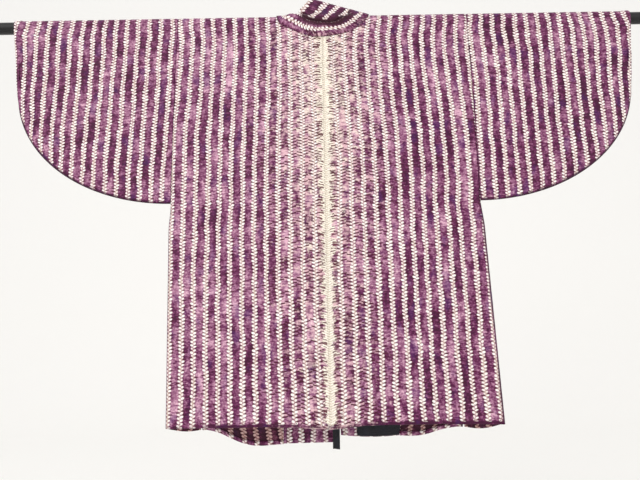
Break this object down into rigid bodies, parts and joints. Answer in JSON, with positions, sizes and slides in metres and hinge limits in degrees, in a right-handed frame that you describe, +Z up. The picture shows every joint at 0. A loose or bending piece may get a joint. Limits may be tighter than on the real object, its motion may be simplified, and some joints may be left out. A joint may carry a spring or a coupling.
{
  "type": "kimono coat on a rod",
  "caption": "Short kimono coat in dotted tie-dye stripes, hung flat by its sleeves on a round rod, back to the viewer.",
  "frame": {"origin": "on the rod's centre line, under the middle of the back neck", "axes": "+X along the rod to the right of the coat's back, +Z up, and the back of the coat faces -Y"},
  "size_m": [1.4, 0.1018, 0.9099],
  "materials": {
    "tie_dyed_silk": "matte puckered silk with rows of raised cream dots",
    "navy_cloth": "matte plain weave",
    "rod_lacquer": "gloss black"
  },
  "bodies": {
    "root": {"rod": "rod_lacquer", "body_left": "tie_dyed_silk", "body_right": "tie_dyed_silk", "sleeve_left": "tie_dyed_silk", "sleeve_right": "tie_dyed_silk", "gusset_left": "tie_dyed_silk", "gusset_right": "tie_dyed_silk", "collar": "tie_dyed_silk", "facing_right": "navy_cloth", "tie": "navy_cloth"}
  },
  "joints": []
}
